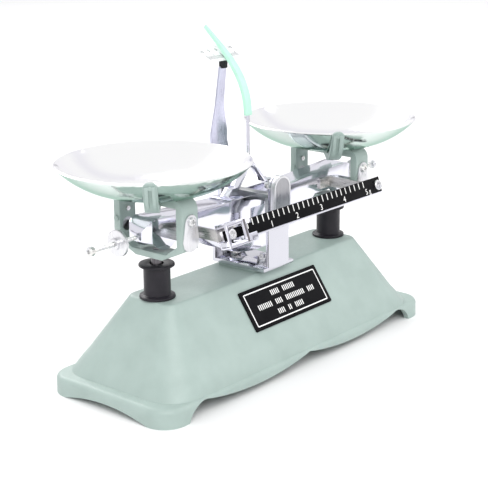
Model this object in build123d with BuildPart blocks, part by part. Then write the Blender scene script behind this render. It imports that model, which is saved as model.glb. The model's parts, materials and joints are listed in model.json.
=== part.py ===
from build123d import *
from math import cos, radians, sin, tan
import os

# Two-pan equal-arm table balance with a rider bar.
# X runs along the beam, Y from front to back, Z up; the origin is on the table under the centre knife.
# All sizes are in millimetres.

# ---- driving sizes ----
ARM = 80.0                    # centre knife to each end knife
KNIFE_Z = 96.0                # height shared by the three knife edges
STAY_Z = 24.0                 # height of the hidden parallel link
DECK_Z = 55.0                 # top of the base casting
SKIRT_L, SKIRT_W = 248.0, 94.0
SKIRT_H = 11.0
SKIRT_CORNER = 14.0
WALL = 3.5                    # casting wall thickness
SLEEVE_H = 20.0
SLEEVE_BORE = 4.0             # bore radius of the stem sleeves
STEM_R = 3.0
LEG_W = 12.4                  # carrier leg width along X
LEG_IN, LEG_OUT = 21.5, 26.0  # inner and outer faces of the carrier legs
SEAT_Z = 115.0                # top of the carrier, where the pan sits
PAN_R, PAN_RIM_Z = 54.5, 132.5
WEB_IN, WEB_OUT = 6.8, 8.0    # inner and outer faces of the beam's side webs
WALL_IN, WALL_OUT = 15.0, 17.0  # inner and outer faces of the stand's back wall
FRONT_IN, FRONT_OUT = 21.0, 23.0  # inner and outer faces of its front wall
BAR_Y, BAR_Z = -37.1, 93.5    # middle of the rider bar
BAR_LEAN = radians(20)        # the bar's top edge leans back by this much
BAR_H = 10.5                  # height of the bar's face
BAR_LEFT, BAR_RIGHT = -66.0, 83.5
BAR_STEP_X = -41.0            # the bar is narrower to the left of this
ZERO_X = -50.0                # rider index on the zero line
STRAP_X = 69.0                # straps that carry the rider bar
SCREW_Z = 93.0                # axis of the balance screws
NUT_X = 109.0                 # balance nuts at rest
TUNE_X, TUNE_Y = 6.8, -10.4   # sensitivity screw

# the bar's middle plane, facing forward and a little upwards
BAR_PLANE = Plane(
    origin=(0, BAR_Y, BAR_Z), x_dir=(1, 0, 0), z_dir=(0, -cos(BAR_LEAN), sin(BAR_LEAN))
)

os.makedirs("parts", exist_ok=True)


def save(part, label):
    """Name one sub-part and write its STEP file."""
    part.label = label
    export_step(part, f"parts/{label}.step")


def body_section(height, shrink=0.0):
    """Length, width and corner radius of the casting's tapered body at one height."""
    slope = (DECK_Z - height) / (DECK_Z - 22.0)
    length = 177.0 + 40.0 * slope
    width = 34.0 + 46.0 * slope
    corner = 7.0 + 13.0 * slope
    return length - 2 * shrink, width - 2 * shrink, max(corner - shrink, 3.0)


# ---- base ----

def base_casting():
    """Hollow casting: tapered body on a rounded skirt, with arches cut under the skirt."""
    foot_x, arch_x, arch_z, lobe_z = 106.0, 91.0, 9.5, 4.5
    end_arch_y, end_arch_z = 32.0, 4.5
    flare_z, slope_z = 14.0, 22.0
    ceiling = DECK_Z - WALL
    pad_x, pad_y, pad_h = 26.0, 28.0, 2.0
    with BuildPart() as casting:
        with BuildSketch(Plane.XY):
            RectangleRounded(SKIRT_L, SKIRT_W, SKIRT_CORNER)
        extrude(amount=SKIRT_H)
        fillet(casting.faces().sort_by(Axis.Z)[-1].edges(), 3.0)
        # body, flaring outwards just above the skirt
        with BuildSketch(Plane.XY.offset(SKIRT_H - 5)):
            RectangleRounded(SKIRT_L - 7, SKIRT_W - 3, 17)
        with BuildSketch(Plane.XY.offset(flare_z)):
            RectangleRounded(SKIRT_L - 20, SKIRT_W - 5, 20)
        with BuildSketch(Plane.XY.offset(slope_z)):
            RectangleRounded(*body_section(slope_z))
        loft()
        for height in (slope_z, DECK_Z):
            with BuildSketch(Plane.XY.offset(height)):
                RectangleRounded(*body_section(height))
        loft(ruled=True)
        fillet(casting.faces().sort_by(Axis.Z)[-1].edges(), 2.5)
        # raised pad under the stand
        with BuildSketch(Plane.XY.offset(DECK_Z - 1)):
            RectangleRounded(pad_x, pad_y, 2)
        extrude(amount=pad_h + 1)
        # hollow inside
        with BuildSketch(Plane.XY.offset(-1)):
            RectangleRounded(SKIRT_L - 2 * WALL, SKIRT_W - 2 * WALL, SKIRT_CORNER - WALL)
        extrude(amount=SKIRT_H - WALL + 1, mode=Mode.SUBTRACT)
        with BuildSketch(Plane.XY.offset(SKIRT_H - WALL)):
            RectangleRounded(SKIRT_L - 14 - 2 * WALL, SKIRT_W - 5 - 2 * WALL, 12)
        for height in (slope_z, ceiling):
            with BuildSketch(Plane.XY.offset(height)):
                RectangleRounded(*body_section(height, WALL))
        loft(ruled=True, mode=Mode.SUBTRACT)
        # arches along the front and back skirts, meeting in a cusp at the middle
        with BuildSketch(Plane.XZ):
            with BuildLine():
                ThreePointArc((-foot_x, 0), (-foot_x + 5, 7), (-arch_x, arch_z))
                ThreePointArc((-arch_x, arch_z), (-arch_x / 2, lobe_z), (0, arch_z))
                ThreePointArc((0, arch_z), (arch_x / 2, lobe_z), (arch_x, arch_z))
                ThreePointArc((arch_x, arch_z), (foot_x - 5, 7), (foot_x, 0))
                Polyline((foot_x, 0), (foot_x, -2), (-foot_x, -2), (-foot_x, 0))
            make_face()
        extrude(amount=SKIRT_W, both=True, mode=Mode.SUBTRACT)
        # shallow arch under each end
        with BuildSketch(Plane.YZ):
            with BuildLine():
                ThreePointArc((-end_arch_y, 0), (0, end_arch_z), (end_arch_y, 0))
                Polyline((end_arch_y, 0), (end_arch_y, -2), (-end_arch_y, -2), (-end_arch_y, 0))
            make_face()
        extrude(amount=SKIRT_L, both=True, mode=Mode.SUBTRACT)
        # holes for the two stems and the two stand bolts
        with BuildSketch(Plane.XY.offset(DECK_Z + pad_h)):
            with Locations((-ARM, 0), (ARM, 0)):
                Circle(SLEEVE_BORE + 0.5)
            with Locations((0, -11), (0, 11)):
                Circle(2.0)
        extrude(amount=-15, mode=Mode.SUBTRACT)
    return casting.part


def stem_sleeve(side):
    """Black flanged bush that guides a carrier stem through the deck."""
    tube_r, flange_r, flange_t, foot = 7.6, 10.2, 1.5, 0.7
    top = DECK_Z + SLEEVE_H
    with BuildPart() as sleeve:
        with BuildSketch(Plane.XZ):
            with BuildLine():
                Polyline(
                    (SLEEVE_BORE, DECK_Z), (flange_r, DECK_Z), (flange_r, DECK_Z + flange_t),
                    (tube_r, DECK_Z + flange_t + foot), (tube_r, top - flange_t - foot),
                    (flange_r, top - flange_t), (flange_r, top - 0.4), (flange_r - 0.4, top),
                    (SLEEVE_BORE, top), (SLEEVE_BORE, DECK_Z),
                )
            make_face()
        revolve(axis=Axis.Z)
    return Pos(side * ARM, 0, 0) * sleeve.part


PLATE_Z = DECK_Z + 2.0        # underside of the stand's foot plate
STAND_T = WALL_OUT - WALL_IN  # sheet thickness of the stand
STAND_TOP = 113.0             # top of the front wall


def stand_bracket():
    """U-shaped sheet stand: foot plate, a narrow front wall and a wider back wall."""
    plate_half, front_half, head_r, back_half = 14.0, 9.5, 7.4, 14.0
    shoulder, back_top = 88.0, 109.5
    with BuildPart() as stand:
        with BuildSketch(Plane.XY.offset(PLATE_Z)):
            with Locations((0, (WALL_OUT - FRONT_OUT) / 2)):
                Rectangle(2 * plate_half, FRONT_OUT + WALL_OUT)
            with Locations((0, -11), (0, 11)):
                Circle(2.1, mode=Mode.SUBTRACT)
        extrude(amount=STAND_T)
        for half, face, top in ((front_half, -FRONT_IN, STAND_TOP), (back_half, WALL_OUT, back_top)):
            with BuildSketch(Plane.XZ.offset(-face)):
                with BuildLine():
                    Polyline(
                        (-head_r, top - head_r), (-head_r, shoulder + 2), (-half, shoulder - 4),
                        (-half, PLATE_Z), (half, PLATE_Z), (half, shoulder - 4),
                        (head_r, shoulder + 2), (head_r, top - head_r),
                    )
                    ThreePointArc((head_r, top - head_r), (0, top), (-head_r, top - head_r))
                make_face()
            extrude(amount=STAND_T)
    return stand.part


def stand_bolts():
    """Two hexagon bolts that hold the stand to the deck and the hanger under it."""
    head_z, low = PLATE_Z + STAND_T, 45.5
    with BuildPart() as bolts:
        with BuildSketch(Plane.XY.offset(head_z)):
            with Locations((0, -11), (0, 11)):
                RegularPolygon(3.6, 6)
        extrude(amount=2.6)
        with BuildSketch(Plane.XY.offset(low)):
            with Locations((0, -11), (0, 11)):
                Circle(1.9)
        extrude(amount=head_z + 4.4 - low)
        with BuildSketch(Plane.XY.offset(low + 1)):
            with Locations((0, -11), (0, 11)):
                RegularPolygon(3.4, 6)
        extrude(amount=2.4)
    return bolts.part


def centre_bearings():
    """Two blocks inside the stand walls, each with a V that the centre knife rests in."""
    half_x, low, high, depth = 5.5, 89.0, 99.5, 4.0
    with BuildPart() as blocks:
        with BuildSketch(Plane.XZ):
            with BuildLine():
                Polyline(
                    (-half_x, low), (half_x, low), (half_x, high), (4.4, high),
                    (0, KNIFE_Z - 0.3), (-4.4, high), (-half_x, high), (-half_x, low),
                )
            make_face()
        extrude(amount=FRONT_IN)
        extrude(blocks.faces().sort_by(Axis.Y)[-1], amount=WALL_IN)
        with BuildSketch(Plane.XY.offset(low - 1)):
            with Locations((0, (WALL_IN - FRONT_IN) / 2)):
                Rectangle(4 * half_x, FRONT_IN + WALL_IN - 2 * depth)
        extrude(amount=high, mode=Mode.SUBTRACT)
    return blocks.part


def stand_cover():
    """Round-topped block on the front of the stand, with a recessed face."""
    half, low, t, rim = 7.4, 90.5, 3.0, 1.0
    with BuildPart() as cover:
        with BuildSketch(Plane.XZ.offset(FRONT_OUT)):
            with BuildLine():
                Polyline((-half, STAND_TOP - half), (-half, low), (half, low), (half, STAND_TOP - half))
                ThreePointArc((half, STAND_TOP - half), (0, STAND_TOP), (-half, STAND_TOP - half))
            make_face()
        extrude(amount=t)
        inner = half - rim
        with BuildSketch(Plane.XZ.offset(FRONT_OUT + t)):
            with BuildLine():
                Polyline((-inner, STAND_TOP - half), (-inner, 92), (inner, 92), (inner, STAND_TOP - half))
                ThreePointArc((inner, STAND_TOP - half), (0, STAND_TOP - rim), (-inner, STAND_TOP - half))
            make_face()
        extrude(amount=-0.5, mode=Mode.SUBTRACT)
    return cover.part


def dial_arm():
    """Bent strip behind the stand that carries the dial, narrowing upwards."""
    t = 1.2
    path = [(WALL_OUT, 70), (WALL_OUT, 106), (22.6, 128), (21.6, 150), (18.6, 173)]
    with BuildPart() as arm:
        with BuildSketch(Plane.YZ):
            with BuildLine():
                Polyline(*path, *[(y + t, z) for y, z in reversed(path)], path[0])
            make_face()
        extrude(amount=10, both=True)
        with BuildSketch(Plane.XZ):
            with BuildLine():
                Polyline(
                    (-7.2, 69), (7.2, 69), (7.2, 133), (3.6, 150), (3, 174),
                    (-3, 174), (-3.6, 150), (-7.2, 133), (-7.2, 69),
                )
            make_face()
        extrude(amount=-30, mode=Mode.INTERSECT)
    return arm.part


DIAL_FRONT = (16.6, 176.6)    # y, z of the dial's front lower edge
DIAL_BACK = (28.8, 183.4)     # y, z of the dial's back lower edge
DIAL_HALF = 16.5


def dial_plate():
    """Sloping plate for the pointer scale, with a short lip turned down at the front."""
    (y0, z0), (y1, z1) = DIAL_FRONT, DIAL_BACK
    t = 1.0
    with BuildPart() as dial:
        with BuildSketch(Plane.YZ):
            with BuildLine():
                Polyline((y0, z0), (y1, z1), (y1 - t / 2, z1 + t), (y0 - t / 2, z0 + t), (y0, z0))
            make_face()
        extrude(amount=DIAL_HALF, both=True)
    return dial.part


def dial_clamp():
    """Small black block joining the dial to the top of its arm."""
    with BuildPart() as clamp:
        with BuildSketch(Plane.YZ):
            with BuildLine():
                Polyline(
                    (17.1, 172), (18.6, 172), (18.5, 173), (20.0, 173),
                    (20.4, 178.7), (17.0, 176.8), (17.1, 172),
                )
            make_face()
        extrude(amount=2.2, both=True)
    return clamp.part


def label_plate():
    """Plain plate fixed to the front slope of the casting."""
    slope = Plane(origin=(0, -28.2, 39), x_dir=(1, 0, 0), z_dir=(0, -33, 23))
    with BuildPart() as plate:
        with BuildSketch(slope):
            RectangleRounded(72, 25, 1)
        extrude(amount=0.8)
    return plate.part


def stay_hanger():
    """Bracket under the deck with two ears that hold the parallel link's pivot."""
    top = DECK_Z - WALL
    ear_in, ear_out, pin_clear = 6.0, 8.0, 1.55
    with BuildPart() as hanger:
        with BuildSketch(Plane.XY.offset(top - 2)):
            Rectangle(12, 29)
            with Locations((0, -11), (0, 11)):
                Circle(2.0, mode=Mode.SUBTRACT)
        extrude(amount=2)
        with BuildSketch(Plane.XZ):
            with BuildLine():
                Polyline((-4.5, STAY_Z), (-6, top), (6, top), (4.5, STAY_Z))
                ThreePointArc((4.5, STAY_Z), (0, STAY_Z - 4.5), (-4.5, STAY_Z))
            make_face()
            with Locations((0, STAY_Z)):
                Circle(pin_clear, mode=Mode.SUBTRACT)
        extrude(amount=ear_out, both=True)
        with BuildSketch(Plane.XY.offset(top - 2)):
            Rectangle(20, 2 * ear_in)
        extrude(amount=-40, mode=Mode.SUBTRACT)
    return hanger.part


# ---- parallel link inside the base ----

def stay_link():
    """Long flat strip parallel to the beam."""
    with BuildPart() as link:
        with BuildSketch(Plane.XZ.offset(-5.4)):
            with Locations((0, STAY_Z)):
                SlotCenterToCenter(2 * ARM, 8)
            with Locations((-ARM, STAY_Z), (0, STAY_Z), (ARM, STAY_Z)):
                Circle(1.5, mode=Mode.SUBTRACT)
        extrude(amount=2.0)
    return link.part


def stay_pins():
    """Pivot pin through the hanger and a pin for the foot of each stem."""
    with BuildPart() as pins:
        with BuildSketch(Plane.XZ.offset(-9)):
            with Locations((0, STAY_Z)):
                Circle(1.5)
        extrude(amount=18)
        with BuildSketch(Plane.XZ.offset(-6.4)):
            with Locations((-ARM, STAY_Z), (ARM, STAY_Z)):
                Circle(1.5)
        extrude(amount=9.4)
        with BuildSketch(Plane.XZ.offset(-6.4)):
            with Locations((-ARM, STAY_Z), (ARM, STAY_Z)):
                Circle(2.4)
        extrude(amount=1.0)
    return pins.part


# ---- beam ----

FLANGE_X = 27.0               # the beam's top flange ends here, either side of the middle
NOSE_X = 96.5
END_ROUND = 7.0               # corner radius of the beam's ends in plan


def knife_outline(x, up, height, half):
    """Corner points of a knife triangle in the XZ plane, closed, with its edge at x."""
    base_z = KNIFE_Z - height if up else KNIFE_Z + height
    return [(x, KNIFE_Z), (x + half, base_z), (x - half, base_z), (x, KNIFE_Z)]


def centre_outline():
    """Centre knife: edge down."""
    return knife_outline(0, False, 5.0, 3.0)


def end_outline(side):
    """End knife: edge up."""
    return knife_outline(side * ARM, True, 4.5, 2.2)


def plan_block(length, width, radius):
    """Upright block with rounded corners that bounds the beam in plan."""
    with BuildPart(mode=Mode.PRIVATE) as block:
        with BuildSketch(Plane.XY.offset(50)):
            RectangleRounded(2 * length, 2 * width, radius)
        extrude(amount=80)
    return block.part


def beam_hollow(inner_top, outer_top, t):
    """Space between the beam's webs, open below and at the top between the flanges."""
    with BuildPart(mode=Mode.PRIVATE) as hollow:
        with BuildSketch(Plane.XZ):
            with BuildLine() as inside:
                Line((FLANGE_X, inner_top - t), (NOSE_X - 11, outer_top - t))
                ThreePointArc(
                    (NOSE_X - 11, outer_top - t), (NOSE_X - 4, 98.9), (NOSE_X - t, SCREW_Z - 3)
                )
                Polyline((NOSE_X - t, SCREW_Z - 3), (NOSE_X - t, 60), (0, 60))
                Polyline((0, inner_top + 20), (FLANGE_X, inner_top + 20), (FLANGE_X, inner_top - t))
                mirror(inside.edges(), about=Plane.YZ)
            make_face()
        extrude(amount=WEB_IN, both=True)
        add(plan_block(NOSE_X - t, WEB_IN, END_ROUND - t), mode=Mode.INTERSECT)
    return hollow.part


def beam_channel():
    """Pressed beam: two side webs with a deep belly, joined by a top flange and rolled ends."""
    inner_top, outer_top, web_low = 100.0, 103.0, 89.0
    belly_x, belly_z = 55.0, 66.0
    lobe_r, lobe_z = 8.8, 93.0
    t = WEB_OUT - WEB_IN
    with BuildPart() as beam:
        # side webs
        with BuildSketch(Plane.XZ):
            with BuildLine() as outline:
                TangentArc((0, belly_z), (belly_x, web_low), tangent=(1, 0))
                Line((belly_x, web_low), (ARM - 9, web_low))
                ThreePointArc((ARM - 9, web_low), (ARM, lobe_z - lobe_r), (ARM + 9, web_low))
                Line((ARM + 9, web_low), (NOSE_X - 1, web_low + 2))
                Line((NOSE_X - 1, web_low + 2), (NOSE_X, SCREW_Z))
                ThreePointArc((NOSE_X, SCREW_Z), (NOSE_X - 3, 99.9), (NOSE_X - 11, outer_top))
                Line((NOSE_X - 11, outer_top), (FLANGE_X, inner_top))
                Line((FLANGE_X, inner_top), (0, inner_top))
                mirror(outline.edges(), about=Plane.YZ)
            make_face()
            # window in the belly, under the centre knife
            with Locations((0, 84)):
                RectangleRounded(22, 17, 5, mode=Mode.SUBTRACT)
        extrude(amount=WEB_OUT, both=True)
        add(plan_block(NOSE_X, WEB_OUT, END_ROUND), mode=Mode.INTERSECT)
        add(beam_hollow(inner_top, outer_top, t), mode=Mode.SUBTRACT)
        # triangular seats for the three knives
        with BuildSketch(Plane.XZ):
            for corners in (centre_outline(), end_outline(-1), end_outline(1)):
                with BuildLine():
                    Polyline(*corners)
                make_face()
        extrude(amount=WEB_OUT, both=True, mode=Mode.SUBTRACT)
        # holes for the balance screws in the rolled ends
        with Locations((NOSE_X, 0, SCREW_Z), (-NOSE_X, 0, SCREW_Z)):
            Cylinder(1.3, 14, rotation=(0, 90, 0), mode=Mode.SUBTRACT)
    return beam.part


def beam_bridge():
    """A-shaped strap over the centre knife that carries the pointer."""
    t = 1.5
    outer = [(26.5, 100), (21.5, 101.5), (18, 105.5), (13, 105.5), (4, 116)]
    inner = [(2.6, 115), (11.6, 104.2), (17.4, 104.2), (20.6, 100.6), (21.5, 100)]
    with BuildPart() as bridge:
        with BuildSketch(Plane.XZ):
            with BuildLine() as half:
                Polyline(*outer)
                ThreePointArc((4, 116), (2.2, 117.4), (0, 117.8))
                Line((0, 117.8), (0, 116.2))
                ThreePointArc((0, 116.2), (1.4, 115.9), inner[0])
                Polyline(*inner)
                Line(inner[-1], outer[0])
            make_face()
            mirror(about=Plane.YZ)
        extrude(amount=3.0, both=True)
        with BuildSketch(Plane.XY.offset(110)):
            Circle(1.0)
        extrude(amount=12, mode=Mode.SUBTRACT)
        # feet that reach the two webs
        with BuildSketch(Plane.XY.offset(100)):
            with Locations((-24, 0), (24, 0)):
                Rectangle(5, 2 * WEB_OUT)
        extrude(amount=1.0)
    return bridge.part


def centre_knife():
    """Three-sided prism, edge down, that the whole beam rocks on."""
    with BuildPart() as knife:
        with BuildSketch(Plane.XZ):
            with BuildLine():
                Polyline(*centre_outline())
            make_face()
        extrude(amount=FRONT_IN - 0.5)
        extrude(knife.faces().sort_by(Axis.Y)[-1], amount=WALL_IN - 0.5)
    return knife.part


def end_knives():
    """Two prisms, edge up, that the carriers hang on."""
    with BuildPart() as knives:
        with BuildSketch(Plane.XZ):
            for side in (-1, 1):
                with BuildLine():
                    Polyline(*end_outline(side))
                make_face()
        extrude(amount=LEG_OUT - 1, both=True)
    return knives.part


BLADE_Z = 146.0               # the pointer's blade starts here


def pointer_rod():
    """Thin rod standing on the bridge."""
    with BuildPart() as rod:
        with BuildSketch(Plane.XY.offset(116.2)):
            Circle(1.0)
        extrude(amount=BLADE_Z - 116.2)
        with BuildSketch(Plane.XY.offset(118.0)):
            RegularPolygon(2.0, 6)
        extrude(amount=1.6)
    return rod.part


def pointer_blade():
    """Curved blade on the rod that bends back over the dial and tapers to a point."""
    low = BLADE_Z
    with BuildPart() as blade:
        with BuildLine(Plane.YZ) as path:
            Spline(
                (0, low), (2.6, 161), (8.6, 172), (19.5, 184), (32.5, 195.5),
                tangents=((0, 1), (0.75, 0.66)),
            )
        with BuildSketch(Plane(origin=(0, 0, low), x_dir=(1, 0, 0), z_dir=(0, 0, 1))):
            Rectangle(8, 2.4)
        sweep(path=path.wires()[0])
        with BuildSketch(Plane.XZ):
            with BuildLine():
                Polyline(
                    (-2.5, low - 1), (2.5, low - 1), (2.5, 172), (0.4, 197),
                    (-0.4, 197), (-2.5, 172), (-2.5, low - 1),
                )
            make_face()
        extrude(amount=-40, both=True, mode=Mode.INTERSECT)
    return blade.part


def bar_outline(low):
    """Outline of the bar's face, for the sketch it is called in; its lower edge is at `low`."""
    high, narrow_low, narrow_high = BAR_H / 2, -2.95, 2.75
    Polygon(
        (BAR_LEFT, narrow_low), (BAR_STEP_X, narrow_low), (BAR_STEP_X, low), (BAR_RIGHT, low),
        (BAR_RIGHT, high), (BAR_STEP_X, high), (BAR_STEP_X, narrow_high), (BAR_LEFT, narrow_high),
        align=None,
    )


BAR_BACK, SCALE_BACK, SCALE_FRONT = -0.75, 0.25, 0.75   # faces, from the bar's middle plane


def rider_bar():
    """Flat bar in front of the beam."""
    with BuildPart() as bar:
        with BuildSketch(BAR_PLANE.offset(BAR_BACK)):
            bar_outline(-BAR_H / 2)
        extrude(amount=SCALE_BACK - BAR_BACK)
    return bar.part


def bar_scale():
    """Thin black scale strip on the front of the bar, leaving its lower edge bare."""
    with BuildPart() as scale:
        with BuildSketch(BAR_PLANE.offset(SCALE_BACK)):
            bar_outline(1 - BAR_H / 2)
        extrude(amount=SCALE_FRONT - SCALE_BACK)
    return scale.part


def bar_strap(side):
    """Strap bent from sheet: a foot on the beam web, a run forward and a flange behind the bar."""
    t = 1.2
    low, high = 91.0, 97.5
    back = -WEB_OUT
    x = side * STRAP_X
    end = -54.0 if side < 0 else 82.0
    behind = (t / 2 - BAR_BACK) / cos(BAR_LEAN)

    def flange_y(height):
        return BAR_Y + behind + (height - BAR_Z) * tan(BAR_LEAN)

    with BuildPart() as strap:
        with BuildSketch(Plane.XY.offset(low)):
            with Locations((x - side * (10 - t / 2) / 2, back - t / 2)):
                Rectangle(10 + t / 2, t)
        extrude(amount=high - low)
        with BuildSketch(Plane.YZ.offset(x)):
            with BuildLine():
                Polyline(
                    (back, low), (back, high), (flange_y(high), high), (flange_y(low), low), (back, low)
                )
            make_face()
        extrude(amount=t / 2, both=True)
        with BuildSketch(BAR_PLANE.offset(BAR_BACK)):
            with Locations(((x + end) / 2, (low + high) / 2 - BAR_Z)):
                Rectangle(abs(end - x) + t, high - low)
        extrude(amount=-t)
    return strap.part


def cross_recess():
    """Outline of a cross slot in a screw head, for the sketch it is called in."""
    Rectangle(3.0, 0.8)
    Rectangle(0.8, 3.0)


def bar_screws():
    """Two round-head screws through the ends of the bar."""
    head_h = 1.5
    places = ((-60, -0.2), (80, 0.2))
    with BuildPart() as screws:
        with BuildSketch(BAR_PLANE.offset(SCALE_FRONT)):
            with Locations(*places):
                Circle(3.3)
        extrude(amount=head_h)
        outward = Axis((0, BAR_Y, BAR_Z), BAR_PLANE.z_dir)
        fillet(screws.faces().sort_by(outward)[-2:].edges(), 0.9)
        with BuildSketch(BAR_PLANE.offset(SCALE_FRONT + head_h)):
            with Locations(*places):
                cross_recess()
        extrude(amount=-0.8, mode=Mode.SUBTRACT)
    return screws.part


def balance_screw(side):
    """Threaded rod out of the beam's end, with a fixed knob at its tip."""
    with BuildPart() as screw:
        with BuildSketch(Plane.YZ.offset(NOSE_X - 9)):
            with Locations((0, SCREW_Z)):
                Circle(1.3)
        extrude(amount=40)
        with BuildSketch(Plane.YZ.offset(NOSE_X + 31)):
            with Locations((0, SCREW_Z)):
                Circle(2.6)
        extrude(amount=3)
        with BuildSketch(Plane.YZ.offset(NOSE_X - 8)):
            with Locations((0, SCREW_Z)):
                RegularPolygon(3.0, 6)
        extrude(amount=2.2)
    if side < 0:
        return mirror(screw.part, about=Plane.YZ)
    return screw.part


def balance_nut(side):
    """Large thin disc with a hub, threaded on the balance screw."""
    with BuildPart() as nut:
        with BuildSketch(Plane.YZ.offset(NUT_X - 1)):
            with Locations((0, SCREW_Z)):
                Circle(7.5)
                Circle(1.36, mode=Mode.SUBTRACT)
        extrude(amount=2.2)
        with BuildSketch(Plane.YZ.offset(NUT_X + 1.2)):
            with Locations((0, SCREW_Z)):
                Circle(3.2)
                Circle(1.36, mode=Mode.SUBTRACT)
        extrude(amount=2.4)
    if side < 0:
        return mirror(nut.part, about=Plane.YZ)
    return nut.part


def sensitivity_screw():
    """Upright threaded rod clipped to the front web beside the centre knife."""
    with BuildPart() as screw:
        with BuildSketch(Plane.XY.offset(88)):
            with Locations((TUNE_X, TUNE_Y)):
                Circle(1.1)
        extrude(amount=19.5)
        with BuildSketch(Plane.XY.offset(95)):
            with Locations((TUNE_X + 1.2, (TUNE_Y - WEB_OUT) / 2 - 0.6)):
                Rectangle(5.6, -TUNE_Y - WEB_OUT + 1.2)
        extrude(amount=4)
    return screw.part


def sensitivity_nut():
    """Small hexagon nut that raises or lowers the beam's centre of mass."""
    with BuildPart() as nut:
        with BuildSketch(Plane.XY.offset(102.5)):
            with Locations((TUNE_X, TUNE_Y)):
                RegularPolygon(3.0, 6)
                Circle(1.16, mode=Mode.SUBTRACT)
        extrude(amount=3)
    return nut.part


# ---- rider ----

def rider():
    """Open frame that hangs round the bar, with a window over the scale and a finger tab below."""
    width, t = 17.0, 1.0
    back, front = -3.6, 4.0     # faces, from the bar's middle plane
    low, high = -BAR_H / 2 - 2.2, BAR_H / 2 + 1.3
    right = ZERO_X + 0.5
    centre, middle = right - width / 2, (low + high) / 2
    with BuildPart() as frame:
        with BuildSketch(BAR_PLANE.offset(back)):
            with Locations((centre, middle)):
                Rectangle(width, high - low)
        extrude(amount=front - back)
        with BuildSketch(BAR_PLANE.offset(back + t)):
            with Locations((centre, middle)):
                Rectangle(width + 1, high - low - 2 * t)
        extrude(amount=front - back - 2 * t, mode=Mode.SUBTRACT)
        with BuildSketch(BAR_PLANE.offset(front)):
            with Locations((centre - 0.9, middle)):
                RectangleRounded(11.4, high - low - 5, 1)
        extrude(amount=-t, mode=Mode.SUBTRACT)
        # finger tab: a floor and a front lip, to the right of the frame
        with BuildSketch(BAR_PLANE.offset(front)):
            with Locations((right + 3, low + t / 2)):
                Rectangle(6, t)
        extrude(amount=back - front)
        with BuildSketch(BAR_PLANE.offset(front)):
            with Locations((right + 3.4, low + 2.4)):
                Rectangle(7, 4.8)
        extrude(amount=-t)
    return frame.part


# ---- carriers and pans ----

def pan_underside(radius):
    """Height of the pan's underside at one radius: a flat middle, then one round sweep to the rim."""
    flat, floor = 16.0, SEAT_Z + 0.2
    if radius <= flat:
        return floor
    run, rise = PAN_R - flat, PAN_RIM_Z - floor
    sweep_r = (run * run + rise * rise) / (2 * rise)
    return floor + sweep_r - (sweep_r ** 2 - (radius - flat) ** 2) ** 0.5


# a carrier's two arms: direction in degrees from +X, and height of the lug at its end
ARMS = ((42, 130.0), (222, 134.5))


def carrier_arm(turn, root_h, top_z):
    """Arm that follows the pan's underside out to an upturned lug, cut off at top_z."""
    width, tip_z, rib_h, shift = 7.5, 134.5, 0.9, 1.9
    knee = (52, 124)
    outer_line = [(0, SEAT_Z - root_h), (26, SEAT_Z - root_h), (40, 115), knee, (58.5, tip_z)]
    inner_line = [
        (55.6, tip_z), (55.4, 131), (50, 126.3), (40, 119.2), (30, 115.6), (16, SEAT_Z), (0, SEAT_Z)
    ]
    arm_plane = Plane.XZ.rotated((0, 0, turn))
    outward = Vector(1, 0, 0).rotate(Axis.Z, turn)
    with BuildPart(mode=Mode.PRIVATE) as arm:
        with BuildSketch(arm_plane):
            Polygon(*outer_line, *inner_line, align=None)
        extrude(amount=width / 2, both=True)
        tip_corners = arm.edges().filter_by(
            lambda edge: abs(edge.center().Z - tip_z) < 0.01 and edge.length < width / 2
        )
        fillet(tip_corners, 3.2)
        # two ribs along the outer face and a small round boss between them
        for across in (-shift, shift):
            with BuildSketch(arm_plane.offset(across)):
                Polygon((40, 115), knee, (57.4, 132.7), (58.3, 132.2), (53, 123.1), align=None)
            extrude(amount=rib_h, both=True)
        boss_base = outward * 56.8 + Vector(0, 0, 131.8)
        with BuildSketch(Plane(origin=boss_base, z_dir=outward * 0.85 + Vector(0, 0, -0.53))):
            Circle(1.4)
        extrude(amount=0.9)
        if top_z < tip_z:
            with BuildSketch(Plane.XY.offset(top_z)):
                Rectangle(200, 200)
            extrude(amount=10, mode=Mode.SUBTRACT)
    return arm.part


def carrier_frame(side):
    """Closed upright frame round the beam's end, with two arms that end in ribbed lugs."""
    top_bar, floor_z, low = 4.5, 83.0, 79.5
    outer_foot = [(10, low), (LEG_OUT, 87)]
    inner_foot = [(13, floor_z), (LEG_IN, 89)]
    with BuildPart() as frame:
        with BuildSketch(Plane.YZ):
            for foot, top, mode in (
                (outer_foot, SEAT_Z, Mode.ADD), (inner_foot, SEAT_Z - top_bar, Mode.SUBTRACT)
            ):
                side_y = foot[-1][0]
                right = [*foot, (side_y, top)]
                left = [(-y, z) for y, z in reversed(right)]
                with BuildLine():
                    Polyline(*right, *left, right[0])
                make_face(mode=mode)
        extrude(amount=LEG_W / 2, both=True)
        top_corners = frame.edges().filter_by(
            lambda edge: abs(edge.center().Y) > LEG_OUT - 0.01 and edge.center().Z > SEAT_Z - 0.01
        )
        fillet(top_corners, 6)
        # holes through the legs for the knife bearings and for the cover screws
        with BuildSketch(Plane.XZ):
            with Locations((0, KNIFE_Z - 2)):
                Circle(4.0)
            with Locations((0, 103)):
                Circle(1.5)
        extrude(amount=LEG_OUT + 1, both=True, mode=Mode.SUBTRACT)
        # hole for the stem
        with BuildSketch(Plane.XY.offset(low - 1)):
            Circle(2.0)
        extrude(amount=6, mode=Mode.SUBTRACT)
        for turn, top_z in ARMS:
            add(carrier_arm(turn, top_bar, top_z))
        # small set-screw boss on the side of the back leg
        with Locations((-LEG_W / 2, (LEG_IN + LEG_OUT) / 2, 98)):
            Cylinder(1.6, 2.0, rotation=(0, 90, 0))
    return Pos(side * ARM, 0, 0) * frame.part


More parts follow.
